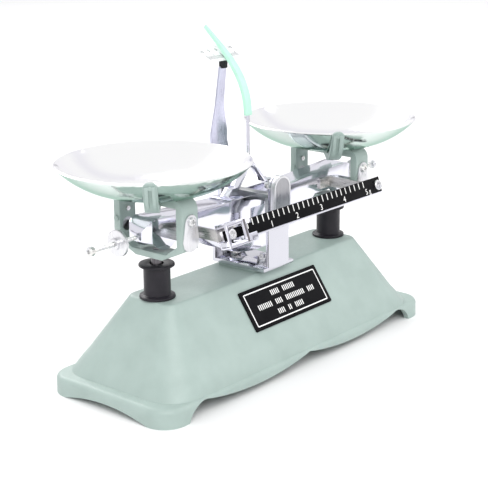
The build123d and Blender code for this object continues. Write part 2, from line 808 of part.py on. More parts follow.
def carrier_stem(side):
    """Round stem below the frame, flattened at its foot and drilled for the link's pin."""
    tongue_top, tongue_low = 30.0, 18.5
    with BuildPart() as stem:
        with BuildSketch(Plane.XY.offset(tongue_top)):
            Circle(STEM_R)
        extrude(amount=79.5 - tongue_top)
        with BuildSketch(Plane.XY.offset(79.5)):
            Circle(2.0)
        extrude(amount=3.5)
        with BuildSketch(Plane.XY.offset(tongue_top)):
            Rectangle(2 * STEM_R, 3)
        extrude(amount=tongue_low - tongue_top)
        with BuildSketch(Plane.XZ):
            with Locations((0, STAY_Z)):
                Circle(2.0)
        extrude(amount=5, both=True, mode=Mode.SUBTRACT)
    return Pos(side * ARM, 0, 0) * stem.part


def end_bearings(side):
    """Inserts in the legs whose inverted V rests on the end knife."""
    with BuildPart() as inserts:
        with BuildSketch(Plane.XZ):
            with Locations((0, KNIFE_Z - 2)):
                Circle(4.0)
            with BuildLine():
                Polyline((0, KNIFE_Z + 0.3), (7, KNIFE_Z - 6.7), (-7, KNIFE_Z - 6.7), (0, KNIFE_Z + 0.3))
            make_face(mode=Mode.SUBTRACT)
        extrude(amount=LEG_OUT, both=True)
        with BuildSketch(Plane.XY.offset(80)):
            Rectangle(12, 2 * LEG_IN)
        extrude(amount=30, mode=Mode.SUBTRACT)
    return Pos(side * ARM, 0, 0) * inserts.part


def end_covers(side):
    """Tear-drop plates that close the bearing holes from outside."""
    with BuildPart() as covers:
        with BuildSketch(Plane.XZ):
            with BuildLine():
                ThreePointArc((-4.6, 102.4), (0, 107), (4.6, 102.4))
                Polyline((4.6, 102.4), (6, 92), (5.4, 88.6))
                ThreePointArc((5.4, 88.6), (0, 86.2), (-5.4, 88.6))
                Polyline((-5.4, 88.6), (-6, 92), (-4.6, 102.4))
            make_face()
            with Locations((0, 103)):
                Circle(1.5, mode=Mode.SUBTRACT)
        extrude(amount=LEG_OUT + 1, both=True)
        with BuildSketch(Plane.XY.offset(80)):
            Rectangle(20, 2 * LEG_OUT)
        extrude(amount=40, mode=Mode.SUBTRACT)
    return Pos(side * ARM, 0, 0) * covers.part


def cover_screws(side):
    """One screw through each leg, holding its cover plate."""
    head_y = LEG_OUT + 2.6
    with BuildPart() as screws:
        with BuildSketch(Plane.XZ):
            with Locations((0, 103)):
                Circle(2.7)
        extrude(amount=head_y, both=True)
        rims = screws.edges().filter_by(GeomType.CIRCLE)
        fillet(rims, 0.9)
        for hand in (-1, 1):
            with BuildSketch(Plane.XZ.offset(hand * head_y)):
                with Locations((0, 103)):
                    cross_recess()
            extrude(amount=-hand * 0.9, mode=Mode.SUBTRACT)
        with BuildSketch(Plane.XY.offset(95)):
            Rectangle(20, 2 * LEG_OUT + 2)
        extrude(amount=20, mode=Mode.SUBTRACT)
        with BuildSketch(Plane.XZ):
            with Locations((0, 103)):
                Circle(1.5)
        extrude(amount=LEG_OUT + 1, both=True)
        with BuildSketch(Plane.XY.offset(95)):
            Rectangle(20, 2 * LEG_IN - 2)
        extrude(amount=20, mode=Mode.SUBTRACT)
    return Pos(side * ARM, 0, 0) * screws.part


def pan(side):
    """Shallow round dish with a rolled rim."""
    t = 1.0
    flat = 16.0
    mid = (flat + PAN_R) / 2
    with BuildPart() as dish:
        with BuildSketch(Plane.XZ):
            with BuildLine():
                low = pan_underside(0)
                Line((0, low), (flat, low))
                ThreePointArc((flat, low), (mid, pan_underside(mid)), (PAN_R, PAN_RIM_Z))
                Line((PAN_R, PAN_RIM_Z), (PAN_R - t, PAN_RIM_Z + 0.6))
                inner_mid = (mid, pan_underside(mid) + 1.1 * t)
                ThreePointArc((PAN_R - t, PAN_RIM_Z + 0.6), inner_mid, (flat, low + t))
                Polyline((flat, low + t), (0, low + t), (0, low))
            make_face()
        revolve(axis=Axis.Z)
    return Pos(side * ARM, 0, 0) * dish.part


# ---- build everything ----

save(base_casting(), "base_casting")
save(stand_bracket(), "stand_bracket")
save(stand_bolts(), "stand_bolts")
save(centre_bearings(), "centre_bearings")
save(stand_cover(), "stand_cover")
save(dial_arm(), "dial_arm")
save(dial_plate(), "dial_plate")
save(dial_clamp(), "dial_clamp")
save(label_plate(), "label_plate")
save(stay_hanger(), "stay_hanger")
save(stay_link(), "stay_link")
save(stay_pins(), "stay_pins")
save(beam_channel(), "beam_channel")
save(beam_bridge(), "beam_bridge")
save(centre_knife(), "centre_knife")
save(end_knives(), "end_knives")
save(pointer_rod(), "pointer_rod")
save(pointer_blade(), "pointer_blade")
save(rider_bar(), "rider_bar")
save(bar_scale(), "bar_scale")
save(bar_screws(), "bar_screws")
save(sensitivity_screw(), "sensitivity_screw")
save(sensitivity_nut(), "sensitivity_nut")
save(rider(), "rider")

for side, hand in ((-1, "left"), (1, "right")):
    save(stem_sleeve(side), f"{hand}_sleeve")
    save(bar_strap(side), f"{hand}_bar_strap")
    save(balance_screw(side), f"{hand}_balance_screw")
    save(balance_nut(side), f"{hand}_balance_nut")
    save(carrier_frame(side), f"{hand}_carrier_frame")
    save(carrier_stem(side), f"{hand}_carrier_stem")
    save(end_bearings(side), f"{hand}_end_bearings")
    save(end_covers(side), f"{hand}_end_covers")
    save(cover_screws(side), f"{hand}_cover_screws")
    save(pan(side), f"{hand}_pan")
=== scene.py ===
import json
import math

import bmesh
import bpy
from mathutils import Matrix, Vector


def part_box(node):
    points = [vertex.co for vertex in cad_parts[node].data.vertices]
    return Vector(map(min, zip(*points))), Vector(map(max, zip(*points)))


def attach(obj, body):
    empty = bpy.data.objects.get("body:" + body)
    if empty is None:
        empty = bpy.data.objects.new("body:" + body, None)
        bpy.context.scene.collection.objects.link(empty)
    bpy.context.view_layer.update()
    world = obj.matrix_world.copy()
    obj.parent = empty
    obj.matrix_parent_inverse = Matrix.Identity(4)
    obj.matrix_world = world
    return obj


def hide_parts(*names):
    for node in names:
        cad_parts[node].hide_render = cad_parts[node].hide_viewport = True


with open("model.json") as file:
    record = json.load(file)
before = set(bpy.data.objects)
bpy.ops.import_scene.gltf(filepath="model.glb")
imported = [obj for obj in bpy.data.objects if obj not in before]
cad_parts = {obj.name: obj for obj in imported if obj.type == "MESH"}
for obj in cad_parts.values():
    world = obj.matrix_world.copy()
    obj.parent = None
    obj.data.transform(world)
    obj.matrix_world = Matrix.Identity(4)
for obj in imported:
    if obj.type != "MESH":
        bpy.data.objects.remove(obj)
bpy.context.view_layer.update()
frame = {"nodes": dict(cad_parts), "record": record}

# Looks of a two-pan table balance. Metres; X runs along the beam, Y from front to back, Z up.

MM = 0.001
nodes = frame["nodes"]
HANDS = (("left", -1), ("right", 1))


# ---- materials ----

class Paint:
    """One node material: a shader, and short ways to drive its colour, roughness and bump."""

    def __init__(self, name, colour, metallic=0.0, roughness=0.5, **sockets):
        self.material = bpy.data.materials.new(name)
        self.material.use_nodes = True
        self.tree = self.material.node_tree
        self.shader = self.tree.nodes["Principled BSDF"]
        self.shader.inputs["Base Color"].default_value = (*colour, 1)
        self.shader.inputs["Metallic"].default_value = metallic
        self.shader.inputs["Roughness"].default_value = roughness
        for socket, value in sockets.items():
            self.shader.inputs[socket.replace("_", " ")].default_value = value
        self.coordinates = self.tree.nodes.new("ShaderNodeTexCoord").outputs["Object"]
        self.last_normal = None

    def node(self, kind, **settings):
        """A new node with its settings."""
        made = self.tree.nodes.new(kind)
        for setting, value in settings.items():
            setattr(made, setting, value)
        return made

    def link(self, source, target):
        self.tree.links.new(source, target)

    def noise(self, scale, detail=2.0, roughness=0.5, stretch=(1, 1, 1), centre=(0, 0, 0)):
        """Noise in the object's own metres.

        scale is features per metre, and stretch squeezes the noise along an axis.
        """
        mapping = self.node("ShaderNodeMapping", vector_type="POINT")
        mapping.inputs["Location"].default_value = [-c * s for c, s in zip(centre, stretch)]
        mapping.inputs["Scale"].default_value = stretch
        texture = self.node("ShaderNodeTexNoise")
        texture.inputs["Scale"].default_value = scale
        texture.inputs["Detail"].default_value = detail
        texture.inputs["Roughness"].default_value = roughness
        self.link(self.coordinates, mapping.inputs["Vector"])
        self.link(mapping.outputs["Vector"], texture.inputs["Vector"])
        return texture.outputs["Fac"]

    def rings(self, centre, scale, distortion=0.0):
        """Concentric fine rings round an upright axis through centre."""
        mapping = self.node("ShaderNodeMapping", vector_type="POINT")
        mapping.inputs["Location"].default_value = [-c for c in centre]
        wave = self.node("ShaderNodeTexWave", wave_type="RINGS", rings_direction="Z")
        wave.inputs["Scale"].default_value = scale
        wave.inputs["Distortion"].default_value = distortion
        wave.inputs["Detail"].default_value = 2.0
        self.link(self.coordinates, mapping.inputs["Vector"])
        self.link(mapping.outputs["Vector"], wave.inputs["Vector"])
        return wave.outputs["Fac"]

    def spread(self, source, low, high):
        """Maps the middle of a noise onto low..high."""
        span = self.node("ShaderNodeMapRange")
        span.inputs["From Min"].default_value = 0.3
        span.inputs["From Max"].default_value = 0.7
        span.inputs["To Min"].default_value = low
        span.inputs["To Max"].default_value = high
        self.link(source, span.inputs["Value"])
        return span.outputs["Result"]

    def colours(self, source, low, high):
        """Base colour that runs from low to high with a noise."""
        ramp = self.node("ShaderNodeValToRGB")
        ramp.color_ramp.elements[0].position = 0.32
        ramp.color_ramp.elements[0].color = (*low, 1)
        ramp.color_ramp.elements[1].position = 0.68
        ramp.color_ramp.elements[1].color = (*high, 1)
        self.link(source, ramp.inputs["Fac"])
        self.link(ramp.outputs["Color"], self.shader.inputs["Base Color"])
        return self

    def underside(self, socket, above, below):
        """Gives a colour socket one colour where the surface faces up, and another where it faces down."""
        split = self.node("ShaderNodeSeparateXYZ")
        pick = self.node("ShaderNodeValToRGB")
        pick.color_ramp.interpolation = "CONSTANT"
        pick.color_ramp.elements[0].color = (*below, 1)
        pick.color_ramp.elements[1].position = 0.5
        pick.color_ramp.elements[1].color = (*above, 1)
        facing = self.node("ShaderNodeMapRange")
        facing.inputs["From Min"].default_value = -1.0
        self.link(self.node("ShaderNodeNewGeometry").outputs["Normal"], split.inputs["Vector"])
        self.link(split.outputs["Z"], facing.inputs["Value"])
        self.link(facing.outputs["Result"], pick.inputs["Fac"])
        self.link(pick.outputs["Color"], self.shader.inputs[socket])
        return self

    def gloss(self, source, low, high):
        """Roughness that runs from low to high with a noise."""
        self.link(self.spread(source, low, high), self.shader.inputs["Roughness"])
        return self

    def bump(self, source, strength, depth):
        """Surface relief from a noise; depth is in metres. Several bumps add up."""
        bump = self.node("ShaderNodeBump")
        bump.inputs["Strength"].default_value = strength
        bump.inputs["Distance"].default_value = depth
        self.link(source, bump.inputs["Height"])
        if self.last_normal:
            self.link(self.last_normal, bump.inputs["Normal"])
        self.last_normal = bump.outputs["Normal"]
        self.link(self.last_normal, self.shader.inputs["Normal"])
        return self


def casting_paint():
    """Pale green hammered paint over a sand casting."""
    paint = Paint("casting_paint", (0.35, 0.44, 0.41), roughness=0.40)
    paint.colours(paint.noise(70, 3), (0.335, 0.422, 0.39), (0.37, 0.462, 0.428))
    paint.gloss(paint.noise(900, 2), 0.34, 0.50)
    paint.bump(paint.noise(260, 2), 0.30, 0.00025)
    paint.bump(paint.noise(1500, 3), 0.35, 0.00010)
    return paint.material


def chrome(name="chrome", tint=(0.78, 0.78, 0.85)):
    """Bright plating on pressed sheet, with a slight ripple."""
    paint = Paint(name, tint, 1.0, 0.07)
    paint.gloss(paint.noise(90, 2), 0.08, 0.15)
    paint.bump(paint.noise(45, 1), 0.12, 0.0003)
    paint.bump(paint.noise(1400, 2), 0.08, 0.00003)
    return paint.material


def brushed(name, colour, along, low=0.24, high=0.36):
    """Metal with fine straight grain; along is 0, 1 or 2 for grain along X, Y or Z."""
    stretch = [1.0, 1.0, 1.0]
    stretch[along] = 0.04
    paint = Paint(name, colour, 1.0, 0.3, Anisotropic=0.4)
    grain = paint.noise(1800, 3, 0.6, stretch)
    darker = tuple(0.88 * c for c in colour)
    paint.colours(grain, darker, colour)
    paint.gloss(grain, low, high)
    paint.bump(grain, 0.2, 0.00003)
    return paint.material


def zinc_plate():
    """Zinc plating with a faint yellow and blue cast."""
    paint = Paint("zinc_plate", (0.68, 0.68, 0.68), 1.0, 0.26)
    paint.colours(paint.noise(160, 2), (0.64, 0.65, 0.68), (0.76, 0.75, 0.72))
    paint.gloss(paint.noise(700, 2), 0.18, 0.34)
    paint.bump(paint.noise(1200, 2), 0.15, 0.00003)
    return paint.material


def ground_steel():
    """Grey knife steel with grinding marks across it."""
    paint = Paint("ground_steel", (0.42, 0.43, 0.44), 1.0, 0.34)
    marks = paint.noise(2200, 2, 0.6, (1, 0.05, 1))
    paint.colours(marks, (0.34, 0.35, 0.36), (0.50, 0.51, 0.52))
    paint.gloss(marks, 0.26, 0.42)
    paint.bump(marks, 0.25, 0.00003)
    return paint.material


def spun_dish(name, centre):
    """Polished dish with faint spinning rings round its middle; bright inside, darker and greener on its
    downward faces as painted shade and a painted reflection of the green base.
    """
    paint = Paint(name, (0.93, 0.935, 0.95), 1.0, 0.14)
    # Painted shade and painted reflection: faces turned down get a darker green base colour and a green
    # specular tint, standing in for the green base mirrored in the underside.
    paint.underside("Base Color", (0.98, 0.98, 0.985), (0.82, 0.86, 0.84))
    paint.underside("Specular Tint", (1.0, 1.0, 1.0), (0.42, 0.56, 0.49))
    paint.gloss(paint.noise(60, 3, 0.5, (1, 1, 1), centre), 0.10, 0.17)
    paint.bump(paint.rings(centre, 420, 0.4), 0.05, 0.00003)
    return paint.material


def moulded_black():
    """Black moulded bush, slightly shiny."""
    paint = Paint("moulded_black", (0.016, 0.014, 0.018), 0.0, 0.36, Specular_IOR_Level=0.25)
    paint.colours(paint.noise(120, 2), (0.013, 0.012, 0.016), (0.020, 0.018, 0.023))
    paint.gloss(paint.noise(500, 3), 0.30, 0.46)
    paint.bump(paint.noise(900, 3), 0.2, 0.00006)
    return paint.material


def plain_coat(name, colour, roughness, shine=0.5):
    """Thin even paint with a very fine surface."""
    paint = Paint(name, colour, 0.0, roughness, Specular_IOR_Level=shine)
    brighter = tuple(min(1.0, 1.1 * c + 0.002) for c in colour)
    paint.colours(paint.noise(140, 3), colour, brighter)
    paint.gloss(paint.noise(600, 2), 0.85 * roughness, 1.2 * roughness)
    paint.bump(paint.noise(1600, 2), 0.12, 0.00004)
    return paint.material


def floor_paint():
    """Pale matte sweep."""
    paint = Paint("floor", (0.90, 0.90, 0.90), 0.0, 0.9)
    paint.colours(paint.noise(3, 2), (0.90, 0.90, 0.90), (0.92, 0.92, 0.92))
    return paint.material


PAINTS = {
    "casting_paint": casting_paint(),
    "black_bush": moulded_black(),
    "chrome": chrome(),
    "plated_steel": zinc_plate(),
    "hard_steel": ground_steel(),
    "brushed_metal": brushed("brushed_metal", (0.78, 0.78, 0.80), 2),
    "dial_enamel": plain_coat("dial_enamel", (0.84, 0.86, 0.86), 0.3),
    "black_plastic": plain_coat("black_plastic", (0.012, 0.012, 0.014), 0.45, 0.2),
    "label_black": plain_coat("label_black", (0.004, 0.004, 0.005), 0.4, 0.06),
    "scale_black": plain_coat("scale_black", (0.004, 0.004, 0.005), 0.4, 0.05),
    "pointer_paint": plain_coat("pointer_paint", (0.46, 0.78, 0.62), 0.35),
}
STRAP_METAL = brushed("strap_metal", (0.62, 0.605, 0.59), 1)
STEM_METAL = brushed("stem_metal", (0.20, 0.19, 0.20), 2)
ARM_METAL = brushed("arm_metal", (0.68, 0.68, 0.82), 2)
STAND_METAL = chrome("stand_metal", (0.62, 0.62, 0.67))
COVER_METAL = brushed("cover_metal", (0.40, 0.40, 0.42), 2)
INK_WHITE = plain_coat("ink_white", (0.88, 0.88, 0.86), 0.5)
INK_BLACK = plain_coat("ink_black", (0.03, 0.03, 0.035), 0.5)


def paint_nodes():
    """Gives every CAD node the material of its slot in the record."""
    for entry in frame["record"]["subparts"]:
        piece = nodes[entry["node"]]
        slot = entry["material_slot"]
        if slot == "pan_steel":
            low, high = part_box(entry["node"])
            material = spun_dish(entry["node"] + "_steel", (low + high) / 2)
        else:
            material = PAINTS[slot]
        piece.data.materials.clear()
        piece.data.materials.append(material)
    for hand, _ in HANDS:
        nodes[hand + "_bar_strap"].data.materials[0] = STRAP_METAL
        nodes[hand + "_carrier_stem"].data.materials[0] = STEM_METAL
    nodes["dial_arm"].data.materials[0] = ARM_METAL
    nodes["stand_bracket"].data.materials[0] = STAND_METAL


# ---- edges of the CAD nodes ----

SHARP_ANGLE = 32              # degrees; flatter edges of a CAD node are shaded smooth
THREAD_SHARP_ANGLE = 28       # the same for the pieces built here
BEVEL_STEPS = 2


def soften(node, width):
    """Rounds a CAD node's sharp edges with modifiers, and shades it smooth between them."""
    piece = nodes[node]
    weld = piece.modifiers.new("weld", "WELD")
    weld.merge_threshold = 0.001 * MM
    if width:
        bevel = piece.modifiers.new("bevel", "BEVEL")
        bevel.width = width
        bevel.segments = BEVEL_STEPS
        bevel.limit_method = "ANGLE"
        bevel.angle_limit = math.radians(SHARP_ANGLE)
        bevel.use_clamp_overlap = True
        bevel.harden_normals = False
    smooth = piece.modifiers.new("smooth", "NODES")
    smooth.node_group = smooth_by_angle(math.radians(SHARP_ANGLE))


def smooth_by_angle(angle):
    """Geometry nodes that mark edges sharper than an angle and smooth the rest."""
    name = f"smooth_{round(math.degrees(angle))}"
    if name in bpy.data.node_groups:
        return bpy.data.node_groups[name]
    group = bpy.data.node_groups.new(name, "GeometryNodeTree")
    group.interface.new_socket("Geometry", in_out="INPUT", socket_type="NodeSocketGeometry")
    group.interface.new_socket("Geometry", in_out="OUTPUT", socket_type="NodeSocketGeometry")
    start = group.nodes.new("NodeGroupInput")
    end = group.nodes.new("NodeGroupOutput")
    edge = group.nodes.new("GeometryNodeInputMeshEdgeAngle")
    compare = group.nodes.new("FunctionNodeCompare")
    compare.data_type = "FLOAT"
    compare.operation = "LESS_EQUAL"
    compare.inputs["B"].default_value = angle
    faces = group.nodes.new("GeometryNodeSetShadeSmooth")
    edges = group.nodes.new("GeometryNodeSetShadeSmooth")
    edges.domain = "EDGE"
    group.links.new(edge.outputs["Unsigned Angle"], compare.inputs["A"])
    group.links.new(start.outputs["Geometry"], faces.inputs["Geometry"])
    group.links.new(faces.outputs["Geometry"], edges.inputs["Geometry"])
    group.links.new(compare.outputs["Result"], edges.inputs["Shade Smooth"])
    group.links.new(edges.outputs["Geometry"], end.inputs["Geometry"])
    return group


# ---- mesh tools ----

def add_piece(name, build, material, body):
    """Builds a mesh with a function that fills a bmesh, and rides it on a body."""
    mesh = bpy.data.meshes.new(name)
    work = bmesh.new()
    build(work)
    bmesh.ops.recalc_face_normals(work, faces=work.faces)
    work.to_mesh(mesh)
    work.free()
    mesh.materials.append(material)
    piece = bpy.data.objects.new(name, mesh)
    bpy.context.scene.collection.objects.link(piece)
    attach(piece, body)
    return piece


def turned(work, origin, axis, profile, sides=32, closed=False, shape=None):
    """Adds a turned solid: profile holds (distance along axis, radius) pairs.

    shape(distance, angle) is added to the radius, for threads and knurls.
    """
    axis = Vector(axis).normalized()
    across = axis.orthogonal().normalized()
    other = axis.cross(across)
    rings = []
    for distance, radius in profile:
        ring = []
        for step in range(sides):
            angle = math.tau * step / sides
            reach = radius + (shape(distance, angle) if shape else 0.0)
            arm = across * math.cos(angle) + other * math.sin(angle)
            ring.append(work.verts.new(Vector(origin) + axis * distance + arm * reach))
        rings.append(ring)
    pairs = list(zip(rings, rings[1:]))
    if closed:
        pairs.append((rings[-1], rings[0]))
    for low, high in pairs:
        for step in range(sides):
            after = (step + 1) % sides
            work.faces.new((low[step], low[after], high[after], high[step]))
    if not closed:
        work.faces.new(rings[0])
        work.faces.new(rings[-1])


def block(work, centre, along, upward, outward, size):
    """Adds a box with its middle at centre and its sides along three directions."""
    sides = [Vector(side).normalized() * length / 2 for side, length in zip((along, upward, outward), size)]
    corners = []
    for a in (-1, 1):
        for b in (-1, 1):
            for c in (-1, 1):
                offset = sides[0] * a + sides[1] * b + sides[2] * c
                corners.append(work.verts.new(Vector(centre) + offset))
    for quad in ((0, 1, 3, 2), (4, 6, 7, 5), (0, 4, 5, 1), (2, 3, 7, 6), (0, 2, 6, 4), (1, 5, 7, 3)):
        work.faces.new([corners[i] for i in quad])


def figure_mesh(text, size, depth):
    """Mesh of one scale figure, centred, in its own XY plane."""
    curve = bpy.data.curves.new("figure", "FONT")
    curve.body = text
    curve.size = size
    curve.extrude = depth / 2
    curve.align_x = "CENTER"
    curve.align_y = "CENTER"
    curve.resolution_u = 3
    holder = bpy.data.objects.new("figure", curve)
    mesh = bpy.data.meshes.new_from_object(holder)
    bpy.data.objects.remove(holder)
    bpy.data.curves.remove(curve)
    return mesh


def figure(work, text, size, depth, centre, along, upward):
    """Adds one scale figure, lying in the plane of along and upward."""
    along = Vector(along).normalized()
    upward = Vector(upward).normalized()
    turn = Matrix((along, upward, along.cross(upward))).transposed().to_4x4()
    place = Matrix.Translation(Vector(centre)) @ turn
    mesh = figure_mesh(text, size, depth)
    mesh.transform(place)
    work.from_mesh(mesh)
    bpy.data.meshes.remove(mesh)


def broad_face(node, towards):
    """Middle and normal of the flat side of a node that faces a direction."""
    towards = Vector(towards).normalized()
    middle = Vector()
    normal = Vector()
    for face in nodes[node].data.polygons:
        if face.normal.dot(towards) > 0.8:
            middle += face.center * face.area
            normal += face.normal * face.area
    return middle / normal.length, normal.normalized()


# ---- threads, nuts and knobs ----

def shade(piece):
    """Shades a built piece smooth, apart from its sharp edges."""
    smooth = piece.modifiers.new("smooth", "NODES")
    smooth.node_group = smooth_by_angle(math.radians(THREAD_SHARP_ANGLE))


def thread(depth, pitch):
    """Thread form to add to a crest radius."""
    def shape(distance, angle):
        turn = (distance / pitch - angle / math.tau) % 1.0
        return -depth * abs(2 * turn - 1)
    return shape


def threaded(work, origin, axis, length, crest, pitch, sides=20):
    """Adds a threaded rod."""
    steps = round(length / pitch * 6)
    profile = [(length * step / steps, crest) for step in range(steps + 1)]
    turned(work, origin, axis, profile, sides, shape=thread(0.22 * crest, pitch))


def knurl(depth, count):
    """Fluting to add to a radius round its edge."""
    def shape(distance, angle):
        return depth * (abs(math.cos(count * angle / 2)) - 1)
    return shape


def balance_screws():
    """Threaded rods out of the beam's ends, each with a fixed end knob that has a dimple."""
    crest, pitch = 1.3 * MM, 0.8 * MM
    knob_r, knob_h = 2.6 * MM, 3.0 * MM
    back_chamfer, tip_chamfer = 0.3 * MM, 0.5 * MM
    dimple_r, dimple_floor_r, dimple_h = 1.1 * MM, 0.9 * MM, 0.9 * MM
    for hand, side in HANDS:
        node = hand + "_balance_screw"
        low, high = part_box(node)
        axis = Vector((side, 0, 0))
        inner, tip = (high.x, low.x) if side < 0 else (low.x, high.x)
        start = Vector((inner, 0, (low.z + high.z) / 2))
        length = abs(tip - inner)

        def build(work):
            knob_back = length - knob_h
            threaded(work, start, axis, knob_back, crest, pitch)
            profile = [
                (knob_back, crest), (knob_back, knob_r - back_chamfer),
                (knob_back + back_chamfer, knob_r), (length - tip_chamfer, knob_r),
                (length, knob_r - tip_chamfer), (length, dimple_r),
                (length - dimple_h, dimple_floor_r), (length - dimple_h, dimple_floor_r / 3),
            ]
            turned(work, start, axis, profile, 48)

        piece = add_piece(hand + "_threaded_rod", build, PAINTS["plated_steel"], "beam")
        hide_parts(node)
        shade(piece)


def balance_nuts():
    """Disc nuts with a finely knurled rim, chamfered edges and a hub."""
    for hand, side in HANDS:
        node = hand + "_balance_nut"
        low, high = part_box(node)
        axis = Vector((side, 0, 0))
        disc_r = (high.y - low.y) / 2
        bore, hub_r, disc_t = 1.36 * MM, 3.2 * MM, 2.2 * MM
        flute_h, flutes = 0.16 * MM, 72
        depth = high.x - low.x
        start = Vector((high.x if side < 0 else low.x, 0, (low.z + high.z) / 2))

        def build(work):
            rim = [
                (0.0, bore), (0.0, disc_r - 0.5 * MM), (0.3 * MM, disc_r - 0.05 * MM),
                (0.4 * MM, disc_r), (disc_t - 0.4 * MM, disc_r), (disc_t - 0.3 * MM, disc_r - 0.05 * MM),
                (disc_t, disc_r - 0.5 * MM), (disc_t, hub_r + 0.4 * MM), (disc_t + 0.3 * MM, hub_r),
                (depth - 0.3 * MM, hub_r), (depth, hub_r - 0.4 * MM), (depth, bore),
            ]

            def shape(distance, angle):
                on_rim = 0.35 * MM < distance < disc_t - 0.35 * MM
                return knurl(flute_h, flutes)(distance, angle) if on_rim else 0.0

            turned(work, start, axis, rim, 216, closed=True, shape=shape)

        metal = PAINTS["brushed_metal"]
        piece = add_piece(hand + "_disc_nut", build, metal, hand + "_balance_nut")
        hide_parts(node)
        shade(piece)


def sensitivity_rod():
    """Threads of the upright sensitivity screw, over its plain rod."""
    low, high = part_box("sensitivity_nut")
    centre = (low + high) / 2
    base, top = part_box("sensitivity_screw")
    crest, pitch = 1.14 * MM, 0.7 * MM

    def build(work):
        threaded(work, (centre.x, centre.y, base.z), (0, 0, 1), top.z - base.z, crest, pitch)

    piece = add_piece("sensitivity_thread", build, PAINTS["plated_steel"], "beam")
    shade(piece)


def pointer_thread():
    """Thread on the lower part of the pointer's rod, over its nut."""
    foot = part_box("pointer_rod")[0].z
    length, crest, pitch = 8 * MM, 1.12 * MM, 0.6 * MM

    def build(work):
        threaded(work, (0, 0, foot), (0, 0, 1), length, crest, pitch)

    piece = add_piece("pointer_thread", build, PAINTS["plated_steel"], "beam")
    shade(piece)


# ---- scales, label ----

GRAM = 23.2 * MM              # rider travel for one gram
ZERO_X = -50.0 * MM
GRAMS = 5
DIVISIONS = 5                 # marks to the gram


def bar_front():
    """Directions of the bar's leaning face, and a function for places on it.

    spot(x, drop) lies on the face at x, drop below the face's top edge.
    """
    middle, normal = broad_face("bar_scale", (0, -1, 0.36))
    upward = normal.cross(Vector((1, 0, 0)))
    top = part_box("bar_scale")[1].z
    to_top = (top - middle.z) / upward.z

    def spot(x, drop):
        place = middle + upward * (to_top - drop)
        place.x = x
        return place

    return spot, upward, normal


def bar_graduations():
    """White marks and figures on the black scale strip."""
    spot, upward, normal = bar_front()
    along = Vector((1, 0, 0))
    tick, raised, edge = 0.6 * MM, 0.12 * MM, 0.3 * MM
    neck_x, neck_drop = -41 * MM, 2.5 * MM
    tick_h, short_tick_h = 3.9 * MM, 2.6 * MM
    figure_drop, figure_shift, figure_h = 7.2 * MM, 1.7 * MM, 5.0 * MM
    unit_shift, unit_h = 3.4 * MM, 4.4 * MM

    def build(work):
        for count in range(GRAMS * DIVISIONS + 1):
            x = ZERO_X + GRAM * count / DIVISIONS
            drop = edge + (neck_drop if x < neck_x else 0.0)
            length = short_tick_h if x < neck_x else tick_h
            block(work, spot(x, drop + length / 2), along, upward, normal, (tick, length, raised))
        for grams in range(1, GRAMS + 1):
            x = ZERO_X + GRAM * grams + figure_shift
            figure(work, str(grams), figure_h, raised, spot(x, figure_drop), along, upward)
        figure(work, "g", unit_h, raised, spot(x + unit_shift, figure_drop), along, upward)

    add_piece("bar_graduations", build, INK_WHITE, "beam")


def cover_inlay():
    """Grey brushed face inside the rim of the stand's cover."""
    low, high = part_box("stand_cover")
    rim, foot_rim, recess, thickness = 1.0 * MM, 1.6 * MM, 0.5 * MM, 0.3 * MM
    radius = (high.x - low.x) / 2 - rim
    shoulder = high.z - rim - radius
    steps = 16

    def build(work):
        edge = [(-radius, low.z + foot_rim), (radius, low.z + foot_rim)]
        for step in range(steps + 1):
            angle = math.pi * step / steps
            edge.append((radius * math.cos(angle), shoulder + radius * math.sin(angle)))
        front = [work.verts.new((x, low.y + recess - thickness, z)) for x, z in edge]
        back = [work.verts.new((x, low.y + recess, z)) for x, z in edge]
        work.faces.new(front)
        work.faces.new(back)
        for i in range(len(edge)):
            after = (i + 1) % len(edge)
            work.faces.new((front[i], front[after], back[after], back[i]))

    add_piece("cover_inlay", build, COVER_METAL, "base")


def rider_index():
    """Dark metal strip down the right-hand side of the rider's window."""
    spot, upward, normal = bar_front()
    rider_gap = 3.25 * MM       # from the scale to the rider's front face
    strip_back = 0.7 * MM        # from the zero line to the middle of the dark strip
    frame_drop, frame_h = 5.7 * MM, 13.0 * MM
    strip_w, raised = 1.7 * MM, 0.1 * MM

    # A raised strip of dark metal on the rider's front face, down the right of its window.
    def build(work):
        centre = spot(ZERO_X - strip_back, frame_drop) + normal * rider_gap
        block(work, centre, (1, 0, 0), upward, normal, (strip_w, frame_h, raised))

    add_piece("rider_index", build, STEM_METAL, "rider")


def dial_marks():
    """Fine black marks and figures on the sloping dial."""
    middle, normal = broad_face("dial_plate", (0, -0.4, 1))
    along = Vector((1, 0, 0))
    upward = normal.cross(along)
    half_depth, margin = 6.4 * MM, 0.8 * MM
    pitch, count_each_side, long_every = 1.25 * MM, 10, 5
    strip_w, long_h, short_h, raised = 0.35 * MM, 4.6 * MM, 3.2 * MM, 0.1 * MM
    figure_h, figure_lift = 3.2 * MM, 2.4 * MM

    def build(work):
        for count in range(-count_each_side, count_each_side + 1):
            length = long_h if count % long_every == 0 else short_h
            centre = middle + along * count * pitch + upward * (length / 2 - half_depth + margin)
            block(work, centre, along, upward, normal, (strip_w, length, raised))
        for count in range(-count_each_side, count_each_side + 1, long_every):
            centre = middle + along * count * pitch + upward * figure_lift
            figure(work, str(abs(count)), figure_h, raised, centre, along, upward)

    add_piece("dial_marks", build, INK_BLACK, "base")


